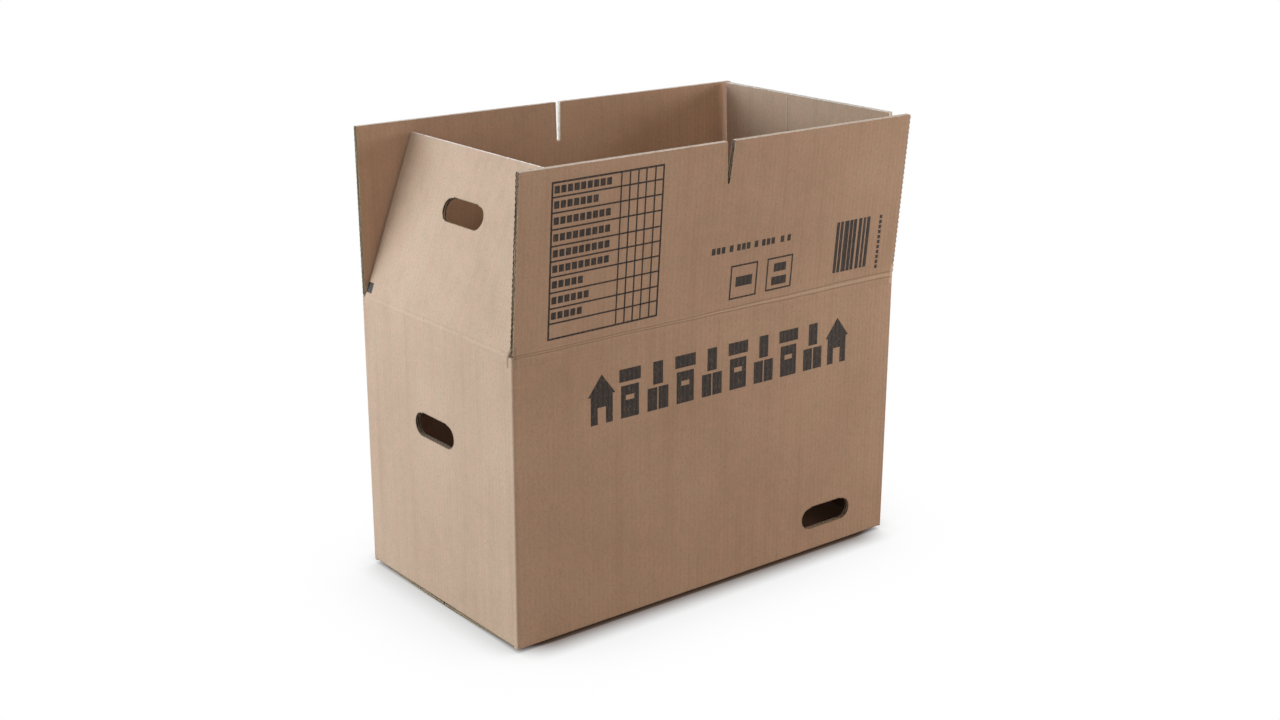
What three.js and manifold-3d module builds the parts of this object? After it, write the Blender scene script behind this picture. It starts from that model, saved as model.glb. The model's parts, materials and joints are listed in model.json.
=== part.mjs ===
// Moving box of double-wall corrugated board, standing open. Millimetres, +Z up.
// The long printed side is the front (-Y), and the end panels with hand holes face -X and +X.
// The folded blank, with its walls, glued lap and closed bottom, is one solid. Each top flap turns on its crease.

import * as THREE from "three";
import { mergeVertices } from "three/addons/utils/BufferGeometryUtils.js";
import Module from "manifold-3d";

const wasm = await Module();
wasm.setup();

// Board and box
const boardThickness = 6.5;
const insideLength = 650;
const insideWidth = 350;
const wallHeight = 393;
const foldInnerRadius = 1;
const foldOuterRadius = 3;

// Bottom flaps
const bottomSeam = 2;
const bottomLayerGap = 0.3;
const bottomEndInset = 3.5;
const bottomSag = 5.5;
const cornerLift = 6.2;
const bottomFlatHalf = 55;
const bottomFlapClearance = 1.5;

// Glued lap at the back right corner, crushed thin and glued inside the back wall
const lapWidth = 38;
const lapThickness = 2;
const lapTopDrop = 9;
const lapTaper = 8;
const lapCornerCut = 3;
const lapEdgeSetback = 0.8;

// Top flaps
const flapHeight = 233;
const longFlapEndInset = 2.5;
const leftEndFlapTrim = 2;
const endFlapSideClearance = 1;
const creaseHalfGap = 0.2;
const creaseGroove = 2;
const creaseOuterRound = 0.8;
const hingeFaceGap = 0.6;
const endCreaseClearance = 0.4;
const frontLeanDegrees = 5;
const backLeanDegrees = 0.8;
const leftLeanDegrees = 20.8;
const rightLeanDegrees = 2.2;

// Slots in the middle of the long flaps
const slotDepth = 57;
const frontSlot = { mouth: 14, root: 4.6 };
const backSlot = { mouth: 8, root: 6 };

// Hand holes
const handHoleLength = 94;
const handHoleHeight = 32;
const tabStep = 1.5;
const tabStepLength = 60;
const handHoleBelowCrease = 146;
const endHoleShift = 4;
const sideHoleFromMiddle = 213;
const sideHoleHeight = 50;

// Facets of round stretches
const foldSteps = 6;
const holeSteps = 12;
const sink = 0.5;

// Sizes that follow from these
const length = insideLength + 2 * boardThickness;
const width = insideWidth + 2 * boardThickness;
const creaseHeight = wallHeight + bottomSag;
const wallTop = creaseHeight - creaseHalfGap;
const endFlapHalfWidth = insideWidth / 2 - endFlapSideClearance;
const endPivotHeight = creaseHeight - boardThickness / 2;
const endRoundRadius = boardThickness + hingeFaceGap / 2;
const endBottomLevel = boardThickness + bottomLayerGap;
const endFootTop = endBottomLevel + boardThickness + foldInnerRadius;
const longFlapLength = length - 2 * longFlapEndInset;

// One closed mesh with shared corners becomes a solid for cutting and joining
function toSolid(geometry) {
  const bare = geometry.clone();
  bare.deleteAttribute("normal");
  bare.deleteAttribute("uv");
  const merged = mergeVertices(bare, 1e-5);
  return new wasm.Manifold(new wasm.Mesh({
    numProp: 3,
    vertProperties: new Float32Array(merged.attributes.position.array),
    triVerts: new Uint32Array(merged.index.array),
  }));
}

function toGeometry(solid) {
  const mesh = solid.getMesh();
  const geometry = new THREE.BufferGeometry();
  geometry.setAttribute("position", new THREE.BufferAttribute(new Float32Array(mesh.vertProperties), 3));
  geometry.setIndex(new THREE.BufferAttribute(new Uint32Array(mesh.triVerts), 1));
  const flat = geometry.toNonIndexed();
  flat.computeVertexNormals();
  return flat;
}

// A flat outline pushed out along the axis that is left, centred on the origin along it.
// "x" outlines hold (y, z), "y" outlines hold (x, z) and "z" outlines hold (x, y).
const outlineAxes = {
  x: new THREE.Matrix4().makeBasis(
    new THREE.Vector3(0, 1, 0), new THREE.Vector3(0, 0, 1), new THREE.Vector3(1, 0, 0)),
  y: new THREE.Matrix4().makeBasis(
    new THREE.Vector3(1, 0, 0), new THREE.Vector3(0, 0, 1), new THREE.Vector3(0, -1, 0)),
  z: new THREE.Matrix4(),
};

function prism(shape, axis, depth, steps = foldSteps) {
  const geometry = new THREE.ExtrudeGeometry(shape, { depth, bevelEnabled: false, curveSegments: steps });
  geometry.translate(0, 0, -depth / 2);
  geometry.applyMatrix4(outlineAxes[axis]);
  return toSolid(geometry);
}

function rectangle(x0, y0, x1, y1) {
  const shape = new THREE.Shape();
  shape.moveTo(x0, y0);
  shape.lineTo(x1, y0);
  shape.lineTo(x1, y1);
  shape.lineTo(x0, y1);
  shape.closePath();
  return shape;
}

function block(x0, y0, z0, x1, y1, z1) {
  const geometry = new THREE.BoxGeometry(x1 - x0, y1 - y0, z1 - z0);
  geometry.translate((x0 + x1) / 2, (y0 + y1) / 2, (z0 + z1) / 2);
  return toSolid(geometry);
}

// The hand hole is a slot with round ends, and its upper edge is higher where the pushed-in tab was creased
function handHoleOutline(centreAcross, centreUp) {
  const r = handHoleHeight / 2;
  const halfStraight = handHoleLength / 2 - r;
  const halfStep = tabStepLength / 2;
  const shape = new THREE.Shape();
  shape.moveTo(centreAcross - halfStraight, centreUp - r);
  shape.lineTo(centreAcross + halfStraight, centreUp - r);
  shape.absarc(centreAcross + halfStraight, centreUp, r, -Math.PI / 2, Math.PI / 2, false);
  shape.lineTo(centreAcross + halfStep, centreUp + r);
  shape.lineTo(centreAcross + halfStep - tabStep, centreUp + r + tabStep);
  shape.lineTo(centreAcross - halfStep + tabStep, centreUp + r + tabStep);
  shape.lineTo(centreAcross - halfStep, centreUp + r);
  shape.lineTo(centreAcross - halfStraight, centreUp + r);
  shape.absarc(centreAcross - halfStraight, centreUp, r, Math.PI / 2, 1.5 * Math.PI, false);
  return shape;
}

// The walls seen from above: three bent corners, and the lap corner where the back wall ends in a cut edge
function wallsOutline() {
  const x = length / 2;
  const y = width / 2;
  const r = foldOuterRadius;
  const outer = new THREE.Shape();
  outer.moveTo(-x + r, -y);
  outer.lineTo(x - r, -y);
  outer.absarc(x - r, -y + r, r, -Math.PI / 2, 0, false);
  outer.lineTo(x, y - boardThickness - lapCornerCut);
  outer.lineTo(x - lapCornerCut, y - boardThickness);
  outer.lineTo(x - lapEdgeSetback, y - boardThickness);
  outer.lineTo(x - lapEdgeSetback, y);
  outer.lineTo(-x + r, y);
  outer.absarc(-x + r, y - r, r, Math.PI / 2, Math.PI, false);
  outer.lineTo(-x, -y + r);
  outer.absarc(-x + r, -y + r, r, Math.PI, 1.5 * Math.PI, false);

  const xi = insideLength / 2;
  const yi = insideWidth / 2;
  const ri = foldInnerRadius;
  const inner = new THREE.Path();
  inner.moveTo(-xi + ri, -yi);
  inner.absarc(-xi + ri, -yi + ri, ri, 1.5 * Math.PI, Math.PI, true);
  inner.lineTo(-xi, yi - ri);
  inner.absarc(-xi + ri, yi - ri, ri, Math.PI, Math.PI / 2, true);
  inner.lineTo(xi, yi);
  inner.lineTo(xi, -yi + ri);
  inner.absarc(xi - ri, -yi + ri, ri, 0, -Math.PI / 2, true);
  outer.holes.push(inner);
  return outer;
}

// Section of a wall's foot that bends inwards into a bottom flap. The wall stands at -face and its fold is at the
// height called low. The flap reaches the place called reach with its underside at the height called level, and
// where the fold is higher than that, the underside slopes down as far as the flat middle of the bottom.
function footOutline(face, reach, low, level, wallEnd) {
  const shape = new THREE.Shape();
  const insideAcross = -face + boardThickness + foldInnerRadius;
  const insideUp = level + boardThickness + foldInnerRadius;
  shape.moveTo(-face, wallEnd);
  shape.lineTo(-face, low + foldOuterRadius);
  shape.absarc(-face + foldOuterRadius, low + foldOuterRadius, foldOuterRadius, Math.PI, 1.5 * Math.PI, false);
  if (low > level) {
    shape.lineTo(-bottomFlatHalf, level);
  }
  shape.lineTo(reach, level);
  shape.lineTo(reach, level + boardThickness);
  shape.lineTo(insideAcross, level + boardThickness);
  shape.absarc(insideAcross, insideUp, foldInnerRadius, 1.5 * Math.PI, Math.PI, true);
  shape.lineTo(-face + boardThickness, wallEnd);
  shape.closePath();
  return shape;
}

// What is cut off along an edge to leave it round: the corner's square less the quarter disc
function edgeRoundOutline(corner, up, inwards, downwards, radius) {
  const shape = new THREE.Shape();
  const centreAcross = corner + inwards * radius;
  const centreUp = up + downwards * radius;
  shape.moveTo(corner - inwards * sink, up - downwards * sink);
  shape.lineTo(centreAcross, up - downwards * sink);
  for (let i = 0; i <= foldSteps; i += 1) {
    const turn = (Math.PI / 2) * (i / foldSteps);
    shape.lineTo(
      centreAcross - inwards * radius * Math.sin(turn),
      centreUp - downwards * radius * Math.cos(turn),
    );
  }
  shape.lineTo(corner - inwards * sink, centreUp);
  shape.closePath();
  return shape;
}

// Quarter-round top of an end wall, centred on the crease axis just inside the inner face
function endRoundOutline() {
  const pivot = insideLength / 2 - hingeFaceGap / 2;
  const fullTurn = Math.acos((insideLength / 2 - pivot) / endRoundRadius);
  const shape = new THREE.Shape();
  shape.moveTo(length / 2, endPivotHeight - sink);
  for (let i = 0; i <= foldSteps; i += 1) {
    const turn = fullTurn * (i / foldSteps);
    shape.lineTo(pivot + endRoundRadius * Math.cos(turn), endPivotHeight + endRoundRadius * Math.sin(turn));
  }
  shape.lineTo(insideLength / 2, endPivotHeight - sink);
  shape.closePath();
  return shape;
}

function foldedBlank() {
  const seamHalf = bottomSeam / 2;
  const longFootTop = Math.max(boardThickness + foldInnerRadius, bottomSag + foldOuterRadius);
  const longFootHalf = length / 2 - bottomEndInset;
  const endFootHalf = insideWidth / 2 - bottomFlapClearance;
  const outX = length / 2 + sink;
  const outY = width / 2 + sink;

  let body = prism(wallsOutline(), "z", wallTop - cornerLift).translate([0, 0, (wallTop + cornerLift) / 2]);

  // Feet of the walls: clear the straight wall where a bend takes its place
  for (const side of [-1, 1]) {
    body = body.subtract(block(
      -longFootHalf, Math.min(side * outY, side * (insideWidth / 2 - sink)), -sink,
      longFootHalf, Math.max(side * outY, side * (insideWidth / 2 - sink)), longFootTop));
    body = body.subtract(block(
      Math.min(side * outX, side * (insideLength / 2 - sink)), -endFootHalf, -sink,
      Math.max(side * outX, side * (insideLength / 2 - sink)), endFootHalf, endFootTop));
  }
  const longFoot = prism(
    footOutline(width / 2, -seamHalf, bottomSag, 0, longFootTop + sink), "x", 2 * longFootHalf);
  const endReach = -length / 2 + insideWidth / 2 + boardThickness;
  const endFoot = prism(
    footOutline(length / 2, endReach, endBottomLevel, endBottomLevel, endFootTop + sink), "y", 2 * endFootHalf);
  body = body.add(longFoot).add(longFoot.rotate([0, 0, 180]));
  body = body.add(endFoot).add(endFoot.rotate([0, 0, 180]));

  // Glued lap
  const lapInner = insideLength / 2 - lapWidth;
  const lapTop = creaseHeight - lapTopDrop;
  const lapFoot = endFootTop + lapTaper;
  const lap = new THREE.Shape();
  lap.moveTo(insideLength / 2 + sink, lapFoot - lapTaper);
  lap.lineTo(insideLength / 2 + sink, lapTop);
  lap.lineTo(lapInner, lapTop - lapTaper);
  lap.lineTo(lapInner, lapFoot);
  lap.closePath();
  body = body.add(prism(lap, "y", lapThickness + sink)
    .translate([0, insideWidth / 2 - (lapThickness - sink) / 2, 0]));

  // Creased top edges of the long walls
  for (const side of [-1, 1]) {
    const inner = edgeRoundOutline(side * insideWidth / 2, wallTop, side, -1, creaseGroove);
    const outer = edgeRoundOutline(side * width / 2, wallTop, -side, -1, creaseOuterRound);
    body = body.subtract(prism(inner, "x", insideLength));
    body = body.subtract(prism(outer, "x", length - 2 * foldOuterRadius));
  }

  // Rounded creases of the end walls
  const endCreaseHalfWidth = endFlapHalfWidth + endCreaseClearance;
  const endRound = prism(endRoundOutline(), "y", 2 * endCreaseHalfWidth);
  for (const side of [-1, 1]) {
    body = body.subtract(block(
      Math.min(side * outX, side * (insideLength / 2 - sink)), -endCreaseHalfWidth, endPivotHeight,
      Math.max(side * outX, side * (insideLength / 2 - sink)), endCreaseHalfWidth, wallTop + sink));
  }
  body = body.add(endRound).add(endRound.rotate([0, 0, 180]));

  // Hand holes: one in each end wall, and one low on the right of each long wall, seen from outside
  const holeDepth = boardThickness + 2 * sink;
  const endHole = prism(handHoleOutline(-endHoleShift, creaseHeight - handHoleBelowCrease), "x", holeDepth, holeSteps)
    .translate([(insideLength + boardThickness) / 2, 0, 0]);
  const sideHole = prism(handHoleOutline(sideHoleFromMiddle, bottomSag + sideHoleHeight), "y", holeDepth, holeSteps)
    .translate([0, -(insideWidth + boardThickness) / 2, 0]);
  body = body.subtract(endHole).subtract(endHole.rotate([0, 0, 180]));
  body = body.subtract(sideHole).subtract(sideHole.rotate([0, 0, 180]));
  return body;
}

// A long flap standing straight up over the front crease. Its axis lies at the origin, just outside the outer face.
function longFlap(slot) {
  const half = longFlapLength / 2;
  const root = slot.root / 2;
  const mouth = slot.mouth / 2;
  const rootUp = flapHeight - slotDepth + root;
  const shape = new THREE.Shape();
  shape.moveTo(-half, creaseHalfGap);
  shape.lineTo(half, creaseHalfGap);
  shape.lineTo(half, flapHeight);
  shape.lineTo(mouth, flapHeight);
  shape.lineTo(root, rootUp);
  shape.absarc(0, rootUp, root, 0, -Math.PI, true);
  shape.lineTo(-mouth, flapHeight);
  shape.lineTo(-half, flapHeight);
  shape.closePath();
  const outerFace = hingeFaceGap / 2;
  const innerFace = outerFace + boardThickness;
  let flap = prism(shape, "y", boardThickness).translate([0, (outerFace + innerFace) / 2, 0]);
  const inner = edgeRoundOutline(innerFace, creaseHalfGap, -1, 1, creaseGroove);
  const outer = edgeRoundOutline(outerFace, creaseHalfGap, 1, 1, creaseOuterRound);
  flap = flap.subtract(prism(inner, "x", longFlapLength + 2 * sink));
  return flap.subtract(prism(outer, "x", longFlapLength + 2 * sink));
}

// An end flap standing straight up over the right-hand crease. Its axis lies at the origin, just inside the inner
// face, so the flap can fold right down inside the box, where its hand hole meets the hole of the end wall. backTrim
// keeps its back edge clear of the glued lap, and topTrim shortens it.
function endFlap(backTrim, topTrim) {
  const bottom = endRoundRadius + endCreaseClearance;
  const top = flapHeight - topTrim + creaseHeight - endPivotHeight;
  const holeUp = handHoleBelowCrease + creaseHeight - endPivotHeight;
  const outerFace = endRoundRadius;
  const innerFace = outerFace - boardThickness;
  const middle = (outerFace + innerFace) / 2;
  const board = prism(rectangle(-endFlapHalfWidth, bottom, endFlapHalfWidth - backTrim, top), "x", boardThickness)
    .translate([middle, 0, 0]);
  const hole = prism(handHoleOutline(-endHoleShift, holeUp), "x", boardThickness + 2 * sink, holeSteps)
    .translate([middle, 0, 0]);
  return board.subtract(hole);
}

// Kraft board, a little darker on the inner liner side
const kraft = new THREE.MeshStandardMaterial({ color: 0xb08f6c, roughness: 0.85, metalness: 0 });
const kraftLight = new THREE.MeshStandardMaterial({ color: 0xc0a080, roughness: 0.85, metalness: 0 });

const box = new THREE.Group();

function addMesh(parent, name, solid, material) {
  const mesh = new THREE.Mesh(toGeometry(solid), material);
  mesh.name = name;
  parent.add(mesh);
  return mesh;
}

// Each flap hangs in two groups: the outer one turns it to its side of the box, the inner one leans it
function addFlap(name, solid, quarterTurns, axisPlace, lean, material) {
  const side = new THREE.Group();
  side.rotation.z = quarterTurns * (Math.PI / 2);
  const crease = new THREE.Group();
  crease.position.copy(axisPlace);
  crease.rotation.copy(lean);
  side.add(crease);
  addMesh(crease, name, solid, material);
  box.add(side);
}

const longAxis = new THREE.Vector3(0, -width / 2 - hingeFaceGap / 2, creaseHeight);
const endAxis = new THREE.Vector3(insideLength / 2 - hingeFaceGap / 2, 0, endPivotHeight);
const outwardLean = (degrees) => new THREE.Euler(THREE.MathUtils.degToRad(degrees), 0, 0);
const inwardLean = (degrees) => new THREE.Euler(0, -THREE.MathUtils.degToRad(degrees), 0);

addMesh(box, "box_body", foldedBlank(), kraft);
addFlap("front_flap", longFlap(frontSlot), 0, longAxis, outwardLean(frontLeanDegrees), kraft);
addFlap("back_flap", longFlap(backSlot), 2, longAxis, outwardLean(backLeanDegrees), kraftLight);
addFlap("right_end_flap", endFlap(lapThickness, 0), 0, endAxis, inwardLean(rightLeanDegrees), kraftLight);
addFlap("left_end_flap", endFlap(0, leftEndFlapTrim), 2, endAxis, inwardLean(leftLeanDegrees), kraft);

// The origin is the middle of the open box's outline on the floor
box.updateMatrixWorld(true);
const extent = new THREE.Box3().setFromObject(box, true);
box.position.set(-(extent.min.x + extent.max.x) / 2, -(extent.min.y + extent.max.y) / 2, -extent.min.z);

export default box;
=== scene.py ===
"""An open moving box of double-wall board: kraft liners, fluted cut edges, folded creases and dark print.

A cut edge is a height field on the cut face. At a place p along the cut and q across the board it stands
out by seat + paper(p, q) * (proud + ragged * wave(p)). paper is 1 on the three liners and on the two fluted
sheets between them, whose middle lines wave as sin(2 pi u / pitch) along the board, and 0 in the hollows.

A crease is a strip whose section bends about the crease axis by lean * smoothstep(s), where s runs up the
board across the fold. It stands out by seat + swell + ridge * exp(-(s / w)^2), less
ridge * exp(-((s - p) / l)^2) at each pressed line p, and fades to its seat at the strip's borders.
"""

import json
import math

import bpy
import numpy as np
from mathutils import Matrix, Vector


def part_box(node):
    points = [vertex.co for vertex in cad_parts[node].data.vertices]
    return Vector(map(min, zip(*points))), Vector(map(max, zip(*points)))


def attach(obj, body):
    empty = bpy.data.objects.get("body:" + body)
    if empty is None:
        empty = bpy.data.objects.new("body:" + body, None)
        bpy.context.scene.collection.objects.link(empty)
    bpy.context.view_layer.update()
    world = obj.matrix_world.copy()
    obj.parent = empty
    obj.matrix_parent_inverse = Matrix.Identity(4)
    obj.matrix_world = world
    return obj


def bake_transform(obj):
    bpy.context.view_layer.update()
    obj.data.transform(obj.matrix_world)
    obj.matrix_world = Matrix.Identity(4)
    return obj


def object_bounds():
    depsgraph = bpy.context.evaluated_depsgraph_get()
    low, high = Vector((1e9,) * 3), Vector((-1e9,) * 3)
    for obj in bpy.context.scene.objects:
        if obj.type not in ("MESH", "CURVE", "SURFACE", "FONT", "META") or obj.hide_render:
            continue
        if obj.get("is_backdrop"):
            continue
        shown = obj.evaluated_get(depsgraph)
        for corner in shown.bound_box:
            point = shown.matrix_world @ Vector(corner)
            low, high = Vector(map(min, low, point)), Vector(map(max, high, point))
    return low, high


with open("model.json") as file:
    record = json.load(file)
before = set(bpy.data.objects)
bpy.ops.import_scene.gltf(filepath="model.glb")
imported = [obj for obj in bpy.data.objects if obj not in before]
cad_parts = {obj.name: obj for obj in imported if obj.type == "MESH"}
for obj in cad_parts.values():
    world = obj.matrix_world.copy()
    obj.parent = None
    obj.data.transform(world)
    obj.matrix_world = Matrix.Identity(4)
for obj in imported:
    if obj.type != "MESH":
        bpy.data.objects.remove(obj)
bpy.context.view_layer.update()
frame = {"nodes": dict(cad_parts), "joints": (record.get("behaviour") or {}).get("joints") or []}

MM = 0.001
THICKNESS = 6.5 * MM
UP = np.array([0.0, 0.0, 1.0])


def joint_place(child):
    return np.array(next(joint["pos_m"] for joint in frame["joints"] if joint["child"] == child), float)


# Flaps and slots, in metres
CREASE_HEIGHT = joint_place("front_flap")[2]
FLAP_HEIGHT = 233 * MM
LEFT_END_FLAP_HEIGHT = 231 * MM
HINGE_OFFSET = 0.3 * MM
LEANS = {"front": 5.0, "back": 0.8, "left_end": -20.8, "right_end": -2.2}
SLOT_MOUTHS = {"front": 14 * MM, "back": 8 * MM}
SLOT_ROOTS = {"front": 4.6 * MM, "back": 6 * MM}
SLOT_DEPTH = 57 * MM

# Bottom flaps
BOTTOM_SAG = 5.5 * MM
BOTTOM_FLAT_HALF = 55 * MM
BOTTOM_SEAM_HALF = 1 * MM
BOTTOM_END_INSET = 3.5 * MM
FOLD_RADIUS = 3 * MM

# Hand holes, seen from outside
HOLE_LENGTH = 94 * MM
HOLE_HEIGHT = 32 * MM
HOLE_STEP = 1.5 * MM
HOLE_STEP_LENGTH = 60 * MM
HOLE_BELOW_CREASE = 146 * MM
END_HOLE_ACROSS = -4 * MM
SIDE_HOLE_ACROSS = 213 * MM
SIDE_HOLE_HEIGHT = 55.5 * MM

body_low, body_high = (np.array(corner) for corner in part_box("box_body"))
middle = (body_low + body_high) / 2
half_length = (body_high[0] - body_low[0]) / 2
half_width = (body_high[1] - body_low[1]) / 2


class Board:
    """A flat panel of board. u runs along its crease to the right, seen from outside, and v runs up from its
    origin. depth is measured inwards from the outer face."""

    def __init__(self, body, origin, outwards, outer, lean=0.0):
        turn = math.radians(lean)
        self.flat_out = np.array(outwards, float)
        self.body = body
        self.origin = origin
        self.along = np.cross(UP, self.flat_out)
        self.up = UP * math.cos(turn) + self.flat_out * math.sin(turn)
        self.out = self.flat_out * math.cos(turn) - UP * math.sin(turn)
        self.outer = outer
        self.lean = turn

    def place(self, u, v, depth=0.0):
        u, v, depth = np.broadcast_arrays(np.asarray(u, float), v, depth)
        return (
            self.origin
            + u[..., None] * self.along
            + v[..., None] * self.up
            + (self.outer - depth)[..., None] * self.out
        )


SIDES = {"front": (0, -1, 0), "back": (0, 1, 0), "left_end": (-1, 0, 0), "right_end": (1, 0, 0)}
ENDS = ("left_end", "right_end")
flaps = {}
walls = {}
for side, outwards in SIDES.items():
    flap_name = side + "_flap"
    reach = half_length if side in ENDS else half_width
    foot = np.array([middle[0], middle[1], 0.0]) + reach * np.array(outwards)
    walls[side] = Board("carton", foot, outwards, 0.0)
    outer = THICKNESS + HINGE_OFFSET if side in ENDS else -HINGE_OFFSET
    flaps[side] = Board(flap_name, joint_place(flap_name), outwards, outer, LEANS[side])


def crease_level(side):
    """Height of the crease over the flap's own axis: the end flaps turn about a lower one."""
    return CREASE_HEIGHT - flaps[side].origin[2]


def flap_span(side):
    """Lowest and highest u of a flap."""
    corners = np.array(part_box(side + "_flap"))[:, :2] - middle[:2]
    places = sorted(corners @ flaps[side].along[:2])
    return places[0], places[1]


def flap_top(side):
    return crease_level(side) + (LEFT_END_FLAP_HEIGHT if side == "left_end" else FLAP_HEIGHT)


# Materials


def new_material(name):
    material = bpy.data.materials.new(name)
    material.use_nodes = True
    tree = material.node_tree
    tree.nodes.clear()
    output = tree.nodes.new("ShaderNodeOutputMaterial")
    shader = tree.nodes.new("ShaderNodeBsdfPrincipled")
    tree.links.new(shader.outputs["BSDF"], output.inputs["Surface"])
    return material, tree, shader


def add_node(tree, kind, inputs=(), **settings):
    """A node with its settings made and its inputs linked or set. inputs holds (socket, value or output)."""
    node = tree.nodes.new(kind)
    for key, value in settings.items():
        setattr(node, key, value)
    for socket, value in inputs:
        if isinstance(value, bpy.types.NodeSocket):
            tree.links.new(value, node.inputs[socket])
        else:
            node.inputs[socket].default_value = value
    return node


def math_node(tree, operation, a, b=0.0, c=0.0, clamp=False):
    pairs = [(0, a), (1, b), (2, c)]
    return add_node(tree, "ShaderNodeMath", pairs, operation=operation, use_clamp=clamp).outputs[0]


def mix_colour(tree, factor, a, b):
    return add_node(tree, "ShaderNodeMix", [(0, factor), (6, a), (7, b)], data_type="RGBA").outputs[2]


def noise(tree, place, scale, detail=3.0, stretch=None):
    if stretch is not None:
        place = add_node(tree, "ShaderNodeMapping", [("Vector", place), ("Scale", stretch)]).outputs[0]
    pairs = [("Vector", place), ("Scale", scale), ("Detail", detail)]
    return add_node(tree, "ShaderNodeTexNoise", pairs).outputs[0]


def noise_share(tree, place, look, stretch=None):
    """A noise made into a share from 0 to 1. look holds its scale, detail, factor and offset."""
    scale, detail, factor, offset = look
    return math_node(tree, "MULTIPLY_ADD", noise(tree, place, scale, detail, stretch), factor, offset, True)


def srgb(red, green, blue):
    """A colour given as 0 to 255 display values, made linear."""
    values = [c / 255 for c in (red, green, blue)]
    linear = [c / 12.92 if c <= 0.04045 else ((c + 0.055) / 1.055) ** 2.4 for c in values]
    return (*linear, 1.0)


LINER = srgb(184, 152, 125)
LINER_CLOUD = srgb(170, 138, 112)
LINER_ROSE = srgb(190, 148, 124)
LINER_FIBRE = srgb(140, 108, 82)
# Pale worn tone of the light specks, and also the painted highlight on a crease's ridge
LINER_WORN_AND_HIGHLIGHT = srgb(206, 178, 150)
# Painted shade in a crease's pressed lines
LINER_CREASE_SHADE = srgb(112, 84, 62)
CUT_PAPER = srgb(186, 160, 132)
# Painted shade in the hollows of a cut edge
CUT_HOLLOW_SHADE = srgb(58, 45, 34)
PRESSED_PAPER = srgb(170, 150, 120)
# Painted shade in the hollows of a pressed cut edge
PRESSED_HOLLOW_SHADE = srgb(84, 68, 50)
# Crushed top edges: pale cut paper with a painted highlight, paper and hollows alike
TOP_PAPER_HIGHLIGHT = srgb(250, 240, 228)
TOP_HOLLOW_HIGHLIGHT = srgb(226, 206, 186)
INK = srgb(24, 18, 14)
# Painted shade: the liner darkens towards this dark brown at the bottom inside the box
LINER_PAINTED_DEEP_SHADE = srgb(52, 36, 25)
DEEP_SHADE_FROM = 125 * MM
DEEP_SHADE_TO = 20 * MM
DEEP_SHADE_DARK = 0.78
FLUTE_PITCH = 7.8 * MM
FLUTE_PITCH_OUTER = 6.5 * MM

# Noises of the paper: scale per metre, detail, and the factor and offset that make a share of each
CLOUDS = (7.0, 5.0, 2.2, -0.6)
BLOTCHES = (55.0, 2.0, 1.2, -0.42)
SPECKS = (420.0, 2.0, 1.6, -0.86)
LIGHT_SPECKS = (510.0, 2.0, 1.5, -0.86)
STREAKS = (60.0, 2.0, 0.6, -0.28)
TORN_PATCHES = (240.0, 3.0, 2.0, -0.8)
FIBRE_SCALE = 800.0
FIBRE_DETAIL = 3.0
FIBRE_STRETCH = (1.0, 1.0, 0.3)
STREAK_STRETCH = (1.0, 1.0, 0.06)
DARK_FIBRES = (1.3, -0.62)
BARE_FIBRES = (1.5, -0.82)

# How far the flutes show in the liner and in the ink, and how strongly a crease's attributes paint a
# highlight on its ridge and shade in its pressed lines
FLUTE_SHADE = 0.028
INK_FLUTE_SHADE = 0.025
RIDGE_HIGHLIGHT = 0.4
PRESSED_LINE_SHADE = 0.42
FACES_END = 0.7
BUMP_STRENGTH = 0.3
BUMP_HEIGHT = 0.25 * MM

LINER_FINISH = (0.78, 0.3)
CUT_FINISH = (0.9, 0.2)
INK_FINISH = (0.7, 0.3)


def set_finish(shader, finish):
    shader.inputs["Roughness"].default_value, shader.inputs["Specular IOR Level"].default_value = finish


def liner_look(tree):
    """Kraft liner: cloudy brown, darker specks and fibres, and faint stripes where the flutes print through.
    Gives its colour, the flutes' wave and the fibres."""
    coordinates = add_node(tree, "ShaderNodeTexCoord")
    place = coordinates.outputs["Object"]
    axes = add_node(tree, "ShaderNodeSeparateXYZ", [(0, place)])
    normal = add_node(tree, "ShaderNodeSeparateXYZ", [(0, coordinates.outputs["Normal"])])
    faces_end = math_node(tree, "GREATER_THAN", math_node(tree, "ABSOLUTE", normal.outputs[0]), FACES_END)
    pairs = [(0, faces_end), (2, axes.outputs[0]), (3, axes.outputs[1])]
    across = add_node(tree, "ShaderNodeMix", pairs, data_type="FLOAT").outputs[0]
    flutes = math_node(tree, "SINE", math_node(tree, "MULTIPLY", across, 2 * math.pi / FLUTE_PITCH))
    fibres = noise(tree, place, FIBRE_SCALE, FIBRE_DETAIL, FIBRE_STRETCH)
    tone = mix_colour(tree, noise_share(tree, place, CLOUDS), LINER, LINER_CLOUD)
    tone = mix_colour(tree, noise_share(tree, place, BLOTCHES), tone, LINER_ROSE)
    shares = [
        math_node(tree, "MULTIPLY_ADD", fibres, *DARK_FIBRES, True),
        noise_share(tree, place, SPECKS),
        noise_share(tree, place, STREAKS, STREAK_STRETCH),
        math_node(tree, "MULTIPLY_ADD", flutes, FLUTE_SHADE, FLUTE_SHADE),
    ]
    for share in shares:
        tone = mix_colour(tree, share, tone, LINER_FIBRE)
    tone = mix_colour(tree, noise_share(tree, place, LIGHT_SPECKS), tone, LINER_WORN_AND_HIGHLIGHT)
    return tone, flutes, fibres


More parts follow.
